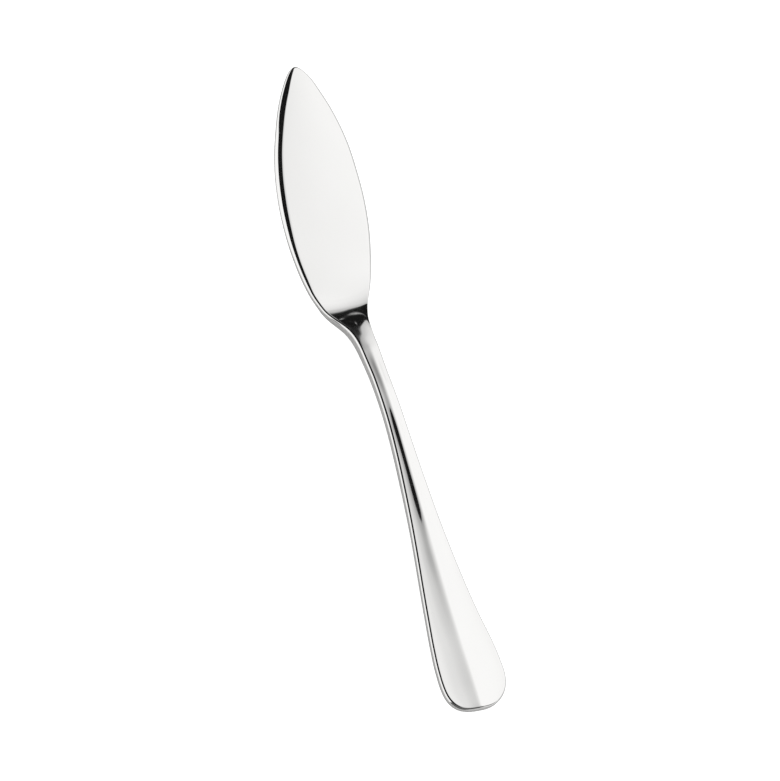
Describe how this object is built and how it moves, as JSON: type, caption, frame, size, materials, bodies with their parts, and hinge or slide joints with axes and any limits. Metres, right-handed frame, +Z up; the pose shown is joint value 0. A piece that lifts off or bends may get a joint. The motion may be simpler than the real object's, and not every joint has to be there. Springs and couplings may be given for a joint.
{
  "type": "fish knife",
  "caption": "Table fish knife forged from one piece of steel: a blunt leaf-shaped blade leaning to its back, a narrow neck and an arched, ridged handle with a rounded end.",
  "frame": {"origin": "middle of the knife's plan box, on the table that its blade and the handle's end lie on", "axes": "+Y along the knife from the handle's end to the tip, +Z up out of the blade's face, +X across toward the back of the blade"},
  "size_m": [0.0294, 0.2054, 0.0071],
  "materials": {
    "polished_steel": "mirror-polished stainless steel with a soft sheen"
  },
  "bodies": {
    "root": {"knife": "polished_steel"}
  },
  "joints": []
}
